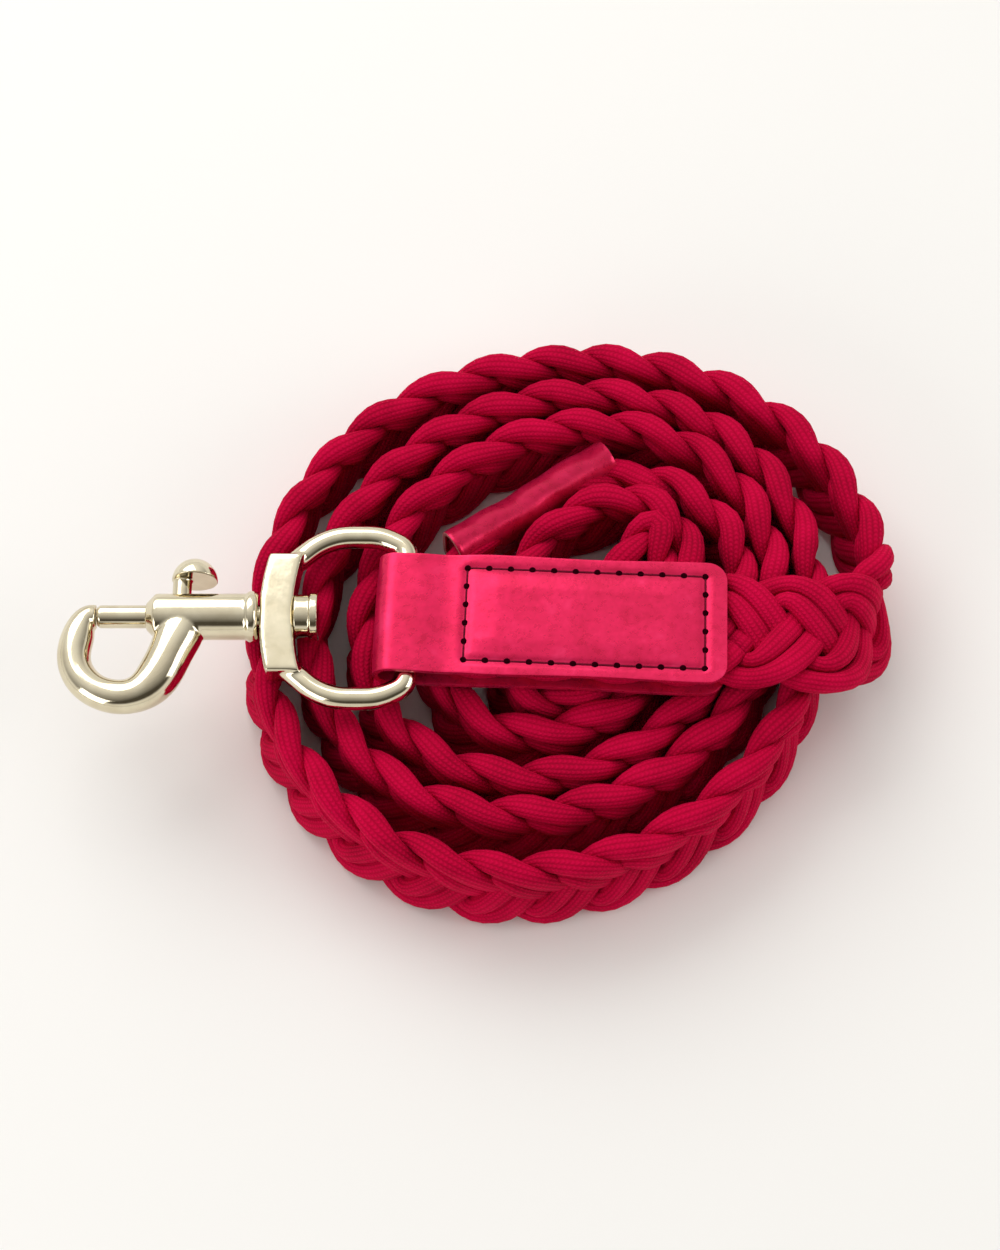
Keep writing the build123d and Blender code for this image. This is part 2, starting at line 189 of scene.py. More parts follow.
# %% [markdown]
# ## The rope's route
# The rope leaves the leather tab, lies flat for a short way, banks over on to its edge and then winds inwards
# in five and a half turns. The loop gives the turns and the short list gives the twist. One smooth NURBS curve
# joins them, so the rope has one real length, and each point of it also knows which way the rope's width lies.

# %% Sizes of the rope and its turns
rope_width = 0.038
right_reach = (0.097, 0.077, 0.064, 0.053, 0.039, 0.025)
back_reach = (0.094, 0.082, 0.070, 0.0585, 0.0455, 0.034)
left_reach = (0.1015, 0.085, 0.069, 0.050, 0.026, -0.006)
front_reach = (0.0875, 0.068, 0.056, 0.0445, 0.033)
coil_skew = 0.009
coil_skew_growth = 0.0009
outer_bulge = 0.0045
outer_bulge_turn = 0.38
outer_bulge_spread = 0.10
outer_bulge_way = (-0.8, 0.6)
points_per_turn = 24
first_turn = 0.03
last_turn = 5.5
look_ahead = 0.01

# The rope's upper edge leans outwards: most in the outer turns, and the other way where the coil starts
coil_lean = 9.0
lean_fade_turns = 3
least_lean_share = 0.4
start_lean = 12
start_lean_turns = 0.4

sleeve_start = (-0.040, 0.025)
sleeve_end = (0.0105, 0.059)
sleeve_top = 0.034
sleeve_first_turn = 3.215
sleeve_last_turn = 3.445
height_in_sleeve = 0.0212
squeeze_in_sleeve = 0.52
squeeze_margin = 0.02
upright_margin = 0.05

tab_length = 0.109
tab_fold = (-0.0635, -0.006)
tab_turn = -2.4
tab_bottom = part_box("tab_leather")[0][2]
tab_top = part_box("tab_leather")[1][2]
tab_middle_height = (tab_bottom + tab_top) / 2


def between(passes, first, turn):
    """Reach at this turn, between the passes on either side of it."""
    where = min(max(turn - first, 0.0), len(passes) - 1.0)
    step = min(int(where), len(passes) - 2)
    return passes[step] + (passes[step + 1] - passes[step]) * (where - step)


def coil_point(turn):
    """The rope's middle in the coil, about the coil's middle; one turn is one lap anticlockwise."""
    angle = 2 * math.pi * turn
    right = between(right_reach, 0.0, turn)
    back = between(back_reach, 0.25, turn)
    left = between(left_reach, 0.5, turn)
    front = between(front_reach, 0.75, turn)
    skew = coil_skew + coil_skew_growth * turn
    x = (right - left) / 2 + (right + left) / 2 * math.cos(angle) + skew * math.sin(angle)
    y = (back - front) / 2 + (back + front) / 2 * math.sin(angle)
    bulge = outer_bulge * math.exp(-(((turn - outer_bulge_turn) / outer_bulge_spread) ** 2))
    return x + bulge * outer_bulge_way[0], y + bulge * outer_bulge_way[1]


def tab_point(along, across, height):
    """A point on the leather tab: along from its fold and across from its middle."""
    turned = math.radians(tab_turn)
    x = tab_fold[0] + along * math.cos(turned) - across * math.sin(turned)
    y = tab_fold[1] + along * math.sin(turned) + across * math.cos(turned)
    return place(x, y, height)


# %% Route points: the stretch in the tab, the twist, then the turns
tab_rope_start = 0.024
tab_rope_middle = 0.066
flatness_in_tab = 0.8
route = []
for along in (tab_rope_start, tab_rope_middle, tab_length):
    middle = tab_point(along, 0, tab_middle_height)
    across = tab_point(along, 1, tab_middle_height) - middle
    route.append((middle, across, 1.0, flatness_in_tab))

# Each place of the twist: the rope's back edge and its front edge
twist_edges = (
    ((0.0600, 0.0080, 0.0433), (0.0600, -0.0300, 0.0432)),
    ((0.0710, 0.0076, 0.0432), (0.0730, -0.0302, 0.0415)),
    ((0.0800, 0.0073, 0.0430), (0.0840, -0.0270, 0.0335)),
    ((0.0865, 0.0080, 0.0425), (0.0930, -0.0180, 0.0210)),
    ((0.0920, 0.0105, 0.0415), (0.0985, -0.0040, 0.0095)),
    ((0.0955, 0.0150, 0.0400), (0.0980, 0.0100, 0.0040)),
)
for back, front in twist_edges:
    middle = (Vector(back) + Vector(front)) / 2
    route.append((place(*middle), Vector(back) - Vector(front), 1.0, 1.0))

sleeve_run = Vector((sleeve_end[0] - sleeve_start[0], sleeve_end[1] - sleeve_start[1], 0))
turn = first_turn
while turn <= last_turn:
    x, y = coil_point(turn)
    ahead_x, ahead_y = coil_point(turn + look_ahead)
    outward = Vector((ahead_y - y, x - ahead_x, 0)).normalized()
    lean = math.radians(coil_lean) * max(least_lean_share, 1 - turn / lean_fade_turns)
    lean = lean - math.radians(start_lean) * max(0.0, 1 - turn / start_lean_turns)
    if sleeve_first_turn - upright_margin < turn < sleeve_last_turn + upright_margin:
        lean = 0.0
    upright = Vector((0, 0, 1)) * math.cos(lean) - outward * math.sin(lean)
    height = rope_width / 2
    squeeze = 1.0
    if sleeve_first_turn - squeeze_margin < turn < sleeve_last_turn + squeeze_margin:
        share = (turn - sleeve_first_turn) / (sleeve_last_turn - sleeve_first_turn)
        x = sleeve_end[0] - sleeve_run.x * share
        y = sleeve_end[1] - sleeve_run.y * share
        height = height_in_sleeve
        squeeze = squeeze_in_sleeve
    route.append((place(x, y, height), upright, squeeze, 1.0))
    turn += 1 / points_per_turn

# Ease the kinks where the rope enters and leaves its sleeve, and on from there to the rope's end
eased_from_turn = 3.1
easing_passes = 4
first_eased = len(route) - round((last_turn - eased_from_turn) * points_per_turn)
for easing in range(easing_passes):
    middles = [entry[0] for entry in route]
    for index in range(first_eased, len(route) - 1):
        eased = (middles[index - 1] + 2 * middles[index] + middles[index + 1]) / 4
        route[index] = (eased, *route[index][1:])
print("route points", len(route))

# %% [markdown]
# A NURBS curve of order 3 glides between its control points and stays inside their polygon, so the turns can't
# ripple. Its line is read back as a mesh of many short edges, which gives evenly spaced places along the rope.

# %% One NURBS curve through the route
curve = bpy.data.curves.new("rope route", "CURVE")
curve.dimensions = "3D"
spline = curve.splines.new("NURBS")
spline.points.add(len(route) - 1)
for point, (middle, across, squeeze, flatness) in zip(spline.points, route):
    point.co = (*middle, 1)
spline.order_u = 3
spline.use_endpoint_u = True
spline.resolution_u = 12
route_object = bpy.data.objects.new("rope route", curve)
bpy.context.scene.collection.objects.link(route_object)
depsgraph = bpy.context.evaluated_depsgraph_get()
route_mesh = bpy.data.meshes.new_from_object(route_object.evaluated_get(depsgraph))
line = np.array([vertex.co for vertex in route_mesh.vertices])
bpy.data.objects.remove(route_object)
bpy.data.curves.remove(curve)
bpy.data.meshes.remove(route_mesh)

spans = len(route) - 2
knots = np.array([0.0] + [step + 0.5 for step in range(spans)] + [float(spans)])
line_knots = np.linspace(0.0, spans, len(line))
acrosses = np.array([across.normalized() for middle, across, squeeze, flatness in route])
line_across = np.stack([np.interp(line_knots, knots, acrosses[:, axis]) for axis in range(3)], axis=1)
line_squeeze = np.interp(line_knots, knots, [entry[2] for entry in route])
line_flatness = np.interp(line_knots, knots, [entry[3] for entry in route])
steps = np.linalg.norm(np.diff(line, axis=0), axis=1)
line_distance = np.concatenate([[0.0], np.cumsum(steps)])
whole_length = line_distance[-1]
in_tab = tab_length - tab_rope_start
print("rope length", round(whole_length, 3), "of it in the tab", round(in_tab, 3))


# %% Places and directions at any distance along the rope
def along_rope(values, distance):
    """Values given along the route, read at these distances from the tab's end."""
    wanted = np.clip(distance + in_tab, 0, whole_length)
    if values.ndim == 1:
        return np.interp(wanted, line_distance, values)
    return np.stack([np.interp(wanted, line_distance, values[:, axis]) for axis in range(3)], axis=-1)


def unit(vectors):
    """Vectors made one metre long."""
    return vectors / np.linalg.norm(vectors, axis=-1, keepdims=True)


direction_reach = 0.002


def rope_frame(distance):
    """Middle, forward, widthwise and outward directions at these distances, straight on past either end."""
    inside = np.clip(distance, direction_reach - in_tab, whole_length - in_tab - direction_reach)
    forward = unit(along_rope(line, inside + direction_reach) - along_rope(line, inside - direction_reach))
    middle = along_rope(line, inside) + forward * (distance - inside)[:, None]
    outward = unit(np.cross(forward, along_rope(line_across, inside)))
    widthwise = np.cross(outward, forward)
    return middle, forward, widthwise, outward


rope_length = whole_length - in_tab
print("free rope", round(rope_length, 3))

# %% [markdown]
# ## The braid
# The real rope is a flat three-strand plait, and each strand is a pair of soft knitted cords. A texture can't
# give its scalloped edge or the dark hollows between strands, so the six cords are real tubes. Each strand
# swings from side to side as a cosine and dips under and over at twice that rate. Where it rounds an edge its
# two cords stand on their sides, and where it crosses the middle they lie flat, side by side.

# %% How a strand runs
plait_period = 0.064
cord_half_width = 0.0041
cord_half_thickness = 0.0023
cord_edge_half_width = 0.0029
cord_edge_half_thickness = 0.0042
plait_dip = 0.0025
cord_step = 0.0023
cord_sides = 14
cord_squareness = 0.85
pair_closeness = 0.97
pattern_shift_of_strand = 0.37
pattern_shift_of_side = 0.11
strand_swing = rope_width / 2 - 2 * cord_edge_half_width


def plait_phase(distance, strand):
    """Where in its swing a strand is, with the slight unevenness of hand work."""
    uneven = 0.16 * np.sin(distance * 23.0 + 1.1) + 0.10 * np.sin(distance * 61.0 + 0.4 * strand)
    return 2 * np.pi * (distance / plait_period + strand / 3) + uneven


def cord_rings(distance, strand, side):
    """Rings of points round one cord of one strand: an array of rings, points and coordinates."""
    phase = plait_phase(distance, strand)
    squeeze = along_rope(line_squeeze, distance)
    flatness = along_rope(line_flatness, distance)
    at_edge = np.cos(phase) ** 4
    even_half_width = cord_half_width + (cord_edge_half_width - cord_half_width) * at_edge
    half_thick = cord_half_thickness + (cord_edge_half_thickness - cord_half_thickness) * at_edge
    swell = 1 + 0.05 * np.sin(distance * 97.0 + 2.1 * strand + 1.3 * side)
    half_width = even_half_width * swell
    half_thick = half_thick * flatness * (0.97 + 0.03 * np.sin(distance * 71.0 + strand + side))
    slope = -strand_swing * 2 * np.pi / plait_period * np.sin(phase)
    norm = np.sqrt(1 + slope**2)
    pair_offset = side * even_half_width * pair_closeness
    moved = distance - pair_offset * slope / norm
    sideways = (strand_swing * np.cos(phase) + pair_offset / norm) * squeeze
    raised = plait_dip * np.sin(2 * phase) * flatness
    middle, forward, widthwise, outward = rope_frame(moved)
    centre = middle + widthwise * sideways[:, None] + outward * raised[:, None]
    run = unit(np.gradient(centre, axis=0))
    flat_side = unit(np.cross(outward, run))
    face_side = np.cross(run, flat_side)
    turned = np.linspace(0, 2 * np.pi, cord_sides, endpoint=False)
    rounded = np.sign(np.cos(turned)) * np.abs(np.cos(turned)) ** cord_squareness
    lifted = np.sign(np.sin(turned)) * np.abs(np.sin(turned)) ** cord_squareness
    narrowed = half_width * (0.45 + 0.55 * squeeze)
    return (
        centre[:, None, :]
        + flat_side[:, None, :] * (narrowed[:, None] * rounded[None, :])[:, :, None]
        + face_side[:, None, :] * (half_thick[:, None] * lifted[None, :])[:, :, None]
    )


# %% Build a braided piece from one distance to another
def braid(name, start, end, material):
    """A stretch of the plait as one mesh of six closed cords, with a UV map that follows each cord."""
    count = max(8, round((end - start) / cord_step))
    distance = np.linspace(start, end, count + 1)
    points = []
    faces = []
    maps = []
    for strand in range(3):
        for side in (-1, 1):
            rings = cord_rings(distance, strand, side)
            run = np.linalg.norm(np.diff(rings.mean(axis=1), axis=0), axis=1)
            travelled = np.concatenate([[0.0], np.cumsum(run)])
            travelled = travelled + pattern_shift_of_strand * strand + pattern_shift_of_side * side
            first = len(points)
            points.extend(rings.reshape(-1, 3).tolist())
            for ring in range(count):
                for step in range(cord_sides):
                    following = (step + 1) % cord_sides
                    low = first + ring * cord_sides
                    high = low + cord_sides
                    faces.append((low + step, low + following, high + following, high + step))
                    around = (step / cord_sides, (step + 1) / cord_sides)
                    maps.append(
                        (
                            (around[0], travelled[ring]),
                            (around[1], travelled[ring]),
                            (around[1], travelled[ring + 1]),
                            (around[0], travelled[ring + 1]),
                        )
                    )
            last = first + count * cord_sides
            faces.append(tuple(first + step for step in reversed(range(cord_sides))))
            maps.append(tuple((0.5, travelled[0]) for step in range(cord_sides)))
            faces.append(tuple(last + step for step in range(cord_sides)))
            maps.append(tuple((0.5, travelled[-1]) for step in range(cord_sides)))
    mesh = bpy.data.meshes.new(name)
    mesh.from_pydata(points, [], faces)
    mesh.update()
    layer = mesh.uv_layers.new(name="cord")
    layer.data.foreach_set("uv", [value for corner in maps for pair in corner for value in pair])
    mesh.polygons.foreach_set("use_smooth", [True] * len(mesh.polygons))
    print(name, "faces", len(mesh.polygons))
    return new_object(name, mesh, material)


# %% [markdown]
# ### Knitted cord
# Each cord is a fine knitted tube: fourteen ribs round it, each a column of small V stitches. The pattern
# follows the cord's own UV map, so it turns with the cord. Bump gives the stitches, and painted shade darkens
# the colour in the grooves between ribs and the low parts of the stitches, with sheen on top because loose
# fibres catch the light at the edges of a soft cord.

# %% Node helpers
def math_node(nodes, links, operation, first, second=0.0):
    """A maths node whose inputs are sockets or numbers; returns its result."""
    node = nodes.new("ShaderNodeMath")
    node.operation = operation
    for index, value in enumerate((first, second)):
        if isinstance(value, (int, float)):
            node.inputs[index].default_value = value
        else:
            links.new(value, node.inputs[index])
    return node.outputs[0]


def noise_node(nodes, links, scale, detail=3.0, roughness=0.5, vector=None):
    """Noise on object coordinates, or on the given vector; returns its factor."""
    node = nodes.new("ShaderNodeTexNoise")
    node.inputs["Scale"].default_value = scale
    node.inputs["Detail"].default_value = detail
    node.inputs["Roughness"].default_value = roughness
    if vector is None:
        vector = nodes.new("ShaderNodeTexCoord").outputs["Object"]
    links.new(vector, node.inputs["Vector"])
    return node.outputs["Fac"]


def ramp_node(nodes, links, factor, *stops):
    """A colour ramp with stops of (place, colour); returns its colour."""
    node = nodes.new("ShaderNodeValToRGB")
    node.color_ramp.elements[0].position = stops[0][0]
    node.color_ramp.elements[0].color = (*stops[0][1], 1)
    node.color_ramp.elements[1].position = stops[-1][0]
    node.color_ramp.elements[1].color = (*stops[-1][1], 1)
    for position, colour in stops[1:-1]:
        node.color_ramp.elements.new(position).color = (*colour, 1)
    links.new(factor, node.inputs["Fac"])
    return node.outputs["Color"]


def add_bump(nodes, links, shader, height, strength, distance):
    """Lets a height socket roughen the shader's surface."""
    node = nodes.new("ShaderNodeBump")
    node.inputs["Strength"].default_value = strength
    node.inputs["Distance"].default_value = distance
    links.new(height, node.inputs["Height"])
    links.new(node.outputs["Normal"], shader.inputs["Normal"])


# %% Knitted cord material
ribs_round_cord = 14.0
courses_per_metre = 800.0
knit, nodes, links, shader = new_material("crimson knitted cord")
uv = nodes.new("ShaderNodeUVMap")
uv.uv_map = "cord"
split = nodes.new("ShaderNodeSeparateXYZ")
links.new(uv.outputs["UV"], split.inputs["Vector"])
ribs = math_node(nodes, links, "MULTIPLY", split.outputs["X"], ribs_round_cord)
in_rib = math_node(nodes, links, "FRACT", ribs)
from_middle = math_node(nodes, links, "ABSOLUTE", math_node(nodes, links, "SUBTRACT", in_rib, 0.5))
rib_height = math_node(nodes, links, "COSINE", math_node(nodes, links, "MULTIPLY", from_middle, math.pi))
courses = math_node(nodes, links, "MULTIPLY", split.outputs["Y"], courses_per_metre)
brick = math_node(nodes, links, "MULTIPLY", math_node(nodes, links, "FLOOR", ribs), 0.5)
slanted = math_node(
    nodes,
    links,
    "ADD",
    math_node(nodes, links, "ADD", courses, brick),
    math_node(nodes, links, "MULTIPLY", from_middle, 0.8),
)
wave = math_node(nodes, links, "SINE", math_node(nodes, links, "MULTIPLY", slanted, 2 * math.pi))
stitch = math_node(nodes, links, "MULTIPLY", math_node(nodes, links, "ADD", wave, 1.0), 0.5)
knit_height = math_node(
    nodes,
    links,
    "MULTIPLY",
    rib_height,
    math_node(nodes, links, "ADD", math_node(nodes, links, "MULTIPLY", stitch, 0.6), 0.4),
)
fuzz = noise_node(nodes, links, 900.0, 2.0)
height = math_node(nodes, links, "ADD", knit_height, math_node(nodes, links, "MULTIPLY", fuzz, 0.25))
add_bump(nodes, links, shader, height, strength=0.8, distance=0.00033)
patches = noise_node(nodes, links, 70.0, 3.0)
# Base colour: painted shade, darker in the grooves between ribs and the low parts of the stitches, mixed with
# random patches of colour.
groove_shade_and_patches = math_node(nodes, links, "ADD", math_node(nodes, links, "MULTIPLY", knit_height, 0.55), patches)
links.new(
    ramp_node(
        nodes,
        links,
        math_node(nodes, links, "MULTIPLY", groove_shade_and_patches, 0.65),
        (0.15, (0.25, 0.0007, 0.018)),
        (0.45, (0.47, 0.0010, 0.034)),
        (0.85, (0.68, 0.0022, 0.060)),
    ),
    shader.inputs["Base Color"],
)
shader.inputs["Roughness"].default_value = 0.75
shader.inputs["Specular IOR Level"].default_value = 0.04
shader.inputs["Sheen Weight"].default_value = 0.12
shader.inputs["Sheen Roughness"].default_value = 0.4
shader.inputs["Sheen Tint"].default_value = (1.0, 0.03, 0.14, 1)

# %% Braid the rope
rope = braid("braided_rope", 0.0, rope_length, knit)
rope_in_tab = braid("rope_end_in_tab", -in_tab, 0.0, knit)
for piece in (rope, rope_in_tab):
    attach(piece, "rope")
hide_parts("rope_coil", "rope_lead", "rope_in_sleeve")
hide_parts("rope_end")

# %% [markdown]
# ## The leather tab
# The tab is one strip of metallic leather, folded round the swivel eye and sewn to itself over the rope's end.
# A flat grid of cells is laid out as the strip, bent round the fold and then given its thickness. That is how
# the real strip is made too, so its ends and its thickness come out right by themselves.

# %% Sizes of the strip
leather_thickness = 0.0018
tab_width = 0.040
tab_corner = 0.006
fold_radius = (tab_top - tab_bottom) / 2
stitch_rows_apart = 0.0312
stitch_first = 0.028
stitch_pitch = 0.00675
stitches_in_row = 11
stitch_columns = 5
stitch_last = stitch_first + stitches_in_row * stitch_pitch
groove_half_width = 0.0010
groove_depth = 0.0006
padding_height = 0.0007
waist_depth = 0.0007
waist_half_width = 0.006
waist_before_stitches = 0.006


def groove(distance, half_width):
    """How deep a sewn line presses in at this distance from it, from 1 on the line to 0 beside it."""
    return math.exp(-((distance / half_width) ** 2))


def press(along, across):
    """How far the sewn lines and the padding beneath move the leather's face, in metres."""
    inside = stitch_first <= along <= stitch_last
    level = abs(across) <= stitch_rows_apart / 2
    depth = 0.0
    if inside:
        depth += groove(abs(across) - stitch_rows_apart / 2, groove_half_width)
    if level:
        first_column = groove(along - stitch_first, groove_half_width)
        last_column = groove(along - stitch_last, groove_half_width)
        depth += first_column + last_column
    filling = 0.0
    if inside and level:
        lengthwise = math.sin(math.pi * (along - stitch_first) / (stitch_last - stitch_first))
        crosswise = math.cos(math.pi * across / stitch_rows_apart)
        filling = padding_height * min(1.0, 2.5 * lengthwise) * min(1.0, 1.6 * crosswise)
    waist = waist_depth * groove(along - stitch_first + waist_before_stitches, waist_half_width)
    return filling - groove_depth * min(depth, 1.0) - waist


# %% Lay out the strip and bend it
corner_rows = 9
face_length = tab_length - fold_radius
stations = []
for row in range(corner_rows + 1):
    angle = math.pi / 2 * row / corner_rows
    half = tab_width / 2 - tab_corner * (1 - math.sin(angle))
    stations.append((tab_corner * (1 - math.cos(angle)), half))
plain_rows = 96
for row in range(1, plain_rows + 1):
    stations.append((tab_corner + (face_length - tab_corner) * row / plain_rows, tab_width / 2))
fold_rows = 18
fold_length = math.pi * fold_radius
for row in range(1, fold_rows):
    stations.append((face_length + fold_length * row / fold_rows, tab_width / 2))
whole_strip = 2 * face_length + fold_length
upper_layer = stations[: corner_rows + plain_rows + 1]
stations += [(whole_strip - run, half) for run, half in reversed(upper_layer)]


def strip_point(run, across):
    """A point on the strip's outer face: run is the distance from its upper end, round the fold."""
    across *= 1 + 0.012 * math.sin(run * 95.0 + 0.8) - 0.012 * groove(run - 0.084, 0.007)
    if run <= face_length:
        along = tab_length - run
        return tab_point(along, across, tab_top + press(along, across))
    if run >= face_length + fold_length:
        along = fold_radius + run - face_length - fold_length
        return tab_point(along, across, tab_bottom)
    turned = (run - face_length) / fold_length * math.pi
    sag = 0.0004 * math.sin(turned) * math.cos(math.pi * across / tab_width)
    along = fold_radius - (fold_radius + sag) * math.sin(turned)
    return tab_point(along, across, tab_middle_height + fold_radius * math.cos(turned))


across_cells = 52
bm = bmesh.new()
bmesh.ops.create_grid(bm, x_segments=len(stations) - 1, y_segments=across_cells, size=0.5)
for vertex in bm.verts:
    run, half = stations[round((vertex.co.x + 0.5) * (len(stations) - 1))]
    vertex.co = strip_point(run, -2 * vertex.co.y * half)
bmesh.ops.recalc_face_normals(bm, faces=bm.faces[:])
top_face = max(bm.faces, key=lambda face: face.calc_center_median().z)
if top_face.normal.z < 0:
    bmesh.ops.reverse_faces(bm, faces=bm.faces[:])
bmesh.ops.solidify(bm, geom=bm.faces[:], thickness=leather_thickness)
tab_mesh = mesh_from(bm, "leather tab")
print("tab faces", len(tab_mesh.polygons))

# %% [markdown]
# ### Metallic leather
# The hide is foiled in a bright cherry red: half metal, half dye. A fine pebble grain breaks the shine, longer
# soft creases bend it, and the colour is a little uneven, as foil over a real hide is.

# %% Metallic leather material
hide, nodes, links, shader = new_material("foiled cherry leather")
pebbles = nodes.new("ShaderNodeTexVoronoi")
pebbles.feature = "SMOOTH_F1"
pebbles.inputs["Scale"].default_value = 1200.0
object_place = nodes.new("ShaderNodeTexCoord").outputs["Object"]
links.new(object_place, pebbles.inputs["Vector"])
creases = noise_node(nodes, links, 90.0, 4.0, 0.6)
mottle = noise_node(nodes, links, 380.0, 3.0, 0.6)
crease_height = math_node(nodes, links, "MULTIPLY", creases, 1.6)
grain = math_node(nodes, links, "ADD", pebbles.outputs["Distance"], crease_height)
add_bump(nodes, links, shader, grain, strength=0.15, distance=0.00016)
crease_share = math_node(nodes, links, "MULTIPLY", creases, 0.6)
mottle_share = math_node(nodes, links, "MULTIPLY", mottle, 0.4)
links.new(
    ramp_node(
        nodes,
        links,
        math_node(nodes, links, "ADD", crease_share, mottle_share),
        (0.30, (0.52, 0.006, 0.050)),
        (0.55, (0.72, 0.013, 0.088)),
        (0.75, (0.82, 0.032, 0.135)),
    ),
    shader.inputs["Base Color"],
)
dullness = math_node(nodes, links, "MULTIPLY", mottle, 0.25)
links.new(math_node(nodes, links, "ADD", dullness, 0.17), shader.inputs["Roughness"])
shader.inputs["Metallic"].default_value = 0.55
shader.inputs["Specular IOR Level"].default_value = 0.25
shader.inputs["Coat Weight"].default_value = 0.06
shader.inputs["Coat Roughness"].default_value = 0.2


def round_edges(piece, width, segments):
    """Rounds a cut leather edge."""
    rounding = piece.modifiers.new("rounded edges", "BEVEL")
    rounding.width = width
    rounding.segments = segments
    rounding.limit_method = "ANGLE"
    rounding.angle_limit = math.radians(50)


tab = new_object("folded_tab", tab_mesh, hide)
round_edges(tab, width=0.0007, segments=3)
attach(tab, "rope")
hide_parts("tab_leather")

# %% [markdown]
# ### Stitches on the tab
# Waxed thread runs in and out of holes punched round the sewn part. Each visible stitch is a short bar that
# dives at both ends, and a small flattened dome, coloured near-black as painted shade, stands for each hole. One
# function makes every stitch.


# %% A stitch and a hole as small shapes
def stitch_bar(bm, start, end, up, radius, dip):
    """A thread bar from start to end, arched up in the middle."""
    run = end - start
    sideways = up.cross(run).normalized()
    made = bmesh.ops.create_uvsphere(bm, u_segments=8, v_segments=8, radius=1.0)
    for vertex in made["verts"]:
        share = vertex.co.z
        arch = dip * (1 - share * share)
        width = radius * (1.0 if abs(share) < 0.9 else 0.8)
        swell = math.hypot(vertex.co.x, vertex.co.y)
        ring = (sideways * vertex.co.x + up * vertex.co.y) * width / max(swell, 1e-6) * min(1.0, swell * 1.8)
        vertex.co = start + run * (share + 1) / 2 + up * arch + ring


def hole_shade_dome(bm, centre, radius, depth):
    """A flattened ball, half sunk into the leather, coloured near-black as painted shade that stands for a hole.
    """
    made = bmesh.ops.create_icosphere(bm, subdivisions=2, radius=1.0)
    for vertex in made["verts"]:
        vertex.co = centre + Vector((vertex.co.x * radius, vertex.co.y * radius, vertex.co.z * depth))


waxed, nodes, links, shader = new_material("dark waxed thread")
twist_place = noise_node(nodes, links, 2500.0, 2.0)
links.new(
    ramp_node(nodes, links, twist_place, (0.35, (0.07, 0.001, 0.010)), (0.65, (0.20, 0.003, 0.026))),
    shader.inputs["Base Color"],
)
shader.inputs["Roughness"].default_value = 0.7
shader.inputs["Specular IOR Level"].default_value = 0.1
# Painted shade: a near-black matt material that stands for the shade inside each hole of the stitching.
painted_hole_shade, nodes, links, shader = new_material("painted hole shade")
hole_shade_tone = noise_node(nodes, links, 3000.0)
links.new(
    ramp_node(nodes, links, hole_shade_tone, (0.3, (0.006, 0.0, 0.001)), (0.7, (0.03, 0.001, 0.005))),
    shader.inputs["Base Color"],
)
shader.inputs["Roughness"].default_value = 0.9
shader.inputs["Specular IOR Level"].default_value = 0.0


def tab_face(along, across):
    """A point on the leather's pressed upper face."""
    return tab_point(along, across, tab_top + press(along, across))


hole_places = []
row_alongs = [stitch_first + stitch * stitch_pitch for stitch in range(stitches_in_row + 1)]
for row in (-1, 1):
    across = row * stitch_rows_apart / 2
    hole_places.append([(along, across) for along in row_alongs])
column_pitch = stitch_rows_apart / stitch_columns
column_acrosses = [(stitch - stitch_columns / 2) * column_pitch for stitch in range(stitch_columns + 1)]
for column in (stitch_first, stitch_last):
    hole_places.append([(column, across) for across in column_acrosses])

hole_radius = 0.0011
hole_height = 0.0006
hole_lift = Vector((0, 0, 0.0001))

bm = bmesh.new()
holes = set()
for line_of_holes in hole_places:
    for start, end in zip(line_of_holes, line_of_holes[1:]):
        stitch_bar(bm, tab_face(*start), tab_face(*end), Vector((0, 0, 1)), radius=0.00034, dip=0.0001)
    holes.update((round(along, 6), round(across, 6)) for along, across in line_of_holes)
thread_faces = len(bm.faces)
# Each near-black dome is painted shade that stands for a hole.
for along, across in sorted(holes):
    hole_shade_dome(bm, tab_face(along, across) + hole_lift, hole_radius, hole_height)
bm.faces.ensure_lookup_table()
for face in bm.faces[thread_faces:]:
    face.material_index = 1
stitching = new_object("tab_thread", mesh_from(bm, "tab stitching"), waxed, painted_hole_shade)
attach(stitching, "rope")
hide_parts("tab_stitching")
print("holes", len(holes))

# %% [markdown]
# ## The leather sleeve
# A second strip of the same leather is folded over the rope and sewn below it, and it keeps the rope
# gathered. Its section is a teardrop with a flat seam, so one flat ring of that shape is drawn and then
# extruded along the rope in many short steps, which leaves enough cells to dent the sleeve.

# %% Section of the sleeve
sleeve_core_height = 0.0215
sleeve_core_width = 0.009
sleeve_wall = 0.0016
seam_height = 0.005
sleeve_length = sleeve_run.length
sleeve_along = sleeve_run.normalized()
sleeve_across = Vector((-sleeve_along.y, sleeve_along.x, 0))


def sleeve_place(across, up, along):
    """A point of the sleeve in the row frame: across, up from its fold and along from its left end."""
    start = place(sleeve_start[0], sleeve_start[1], sleeve_top)
    return start + sleeve_across * across + Vector((0, 0, up)) + sleeve_along * along


def teardrop(half, top, foot_half, foot, tip):
    """Outline from the seam's right foot over the round top to its left foot, as (across, up) points."""
    round_centre = top - half
    right = [(foot_half, tip), (foot_half, (foot + tip) / 2), (foot_half, foot)]
    for share in (0.35, 0.7, 1.0):
        right.append((foot_half + (half - foot_half) * share, foot + (round_centre - foot) * 0.45 * share))
    right += [(half, foot + (round_centre - foot) * share) for share in (0.65, 0.85)]
    angles = [math.pi * step / 16 for step in range(17)]
    arc = [(half * math.cos(angle), round_centre + half * math.sin(angle)) for angle in angles]
    left = [(-across, up) for across, up in reversed(right)]
    return right + arc + left


